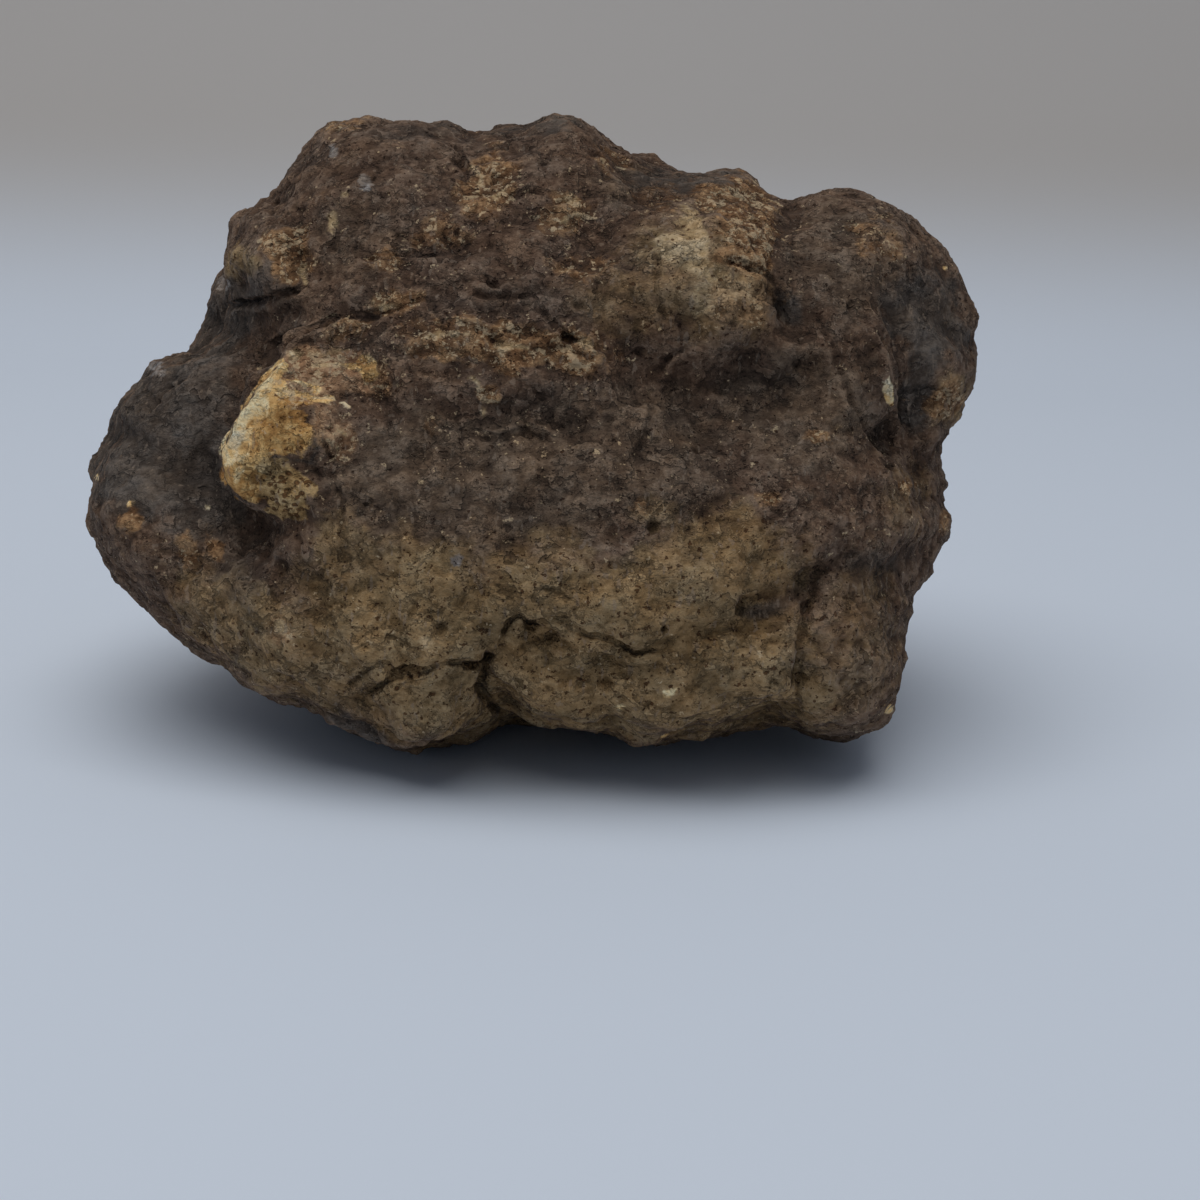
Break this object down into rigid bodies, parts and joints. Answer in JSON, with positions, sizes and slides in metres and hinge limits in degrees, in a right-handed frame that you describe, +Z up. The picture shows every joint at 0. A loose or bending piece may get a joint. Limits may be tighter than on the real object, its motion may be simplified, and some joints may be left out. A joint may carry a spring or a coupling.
{
  "type": "unopened geode",
  "caption": "Unopened geode: one rough, lumpy brown stone nodule with a blunt nose, a pale chert corner and ledges, resting on a small flat spot.",
  "frame": {"origin": "centre of the stone's box, on the level of the flat spot that it rests on", "axes": "+X along the stone's longest way, from the blunt nose to the squarer end; +Y from the pale chert corner's side to the back; +Z up"},
  "size_m": [0.157, 0.12, 0.106],
  "materials": {
    "rind": "dull"
  },
  "bodies": {
    "root": {"geode": "rind"}
  },
  "joints": []
}
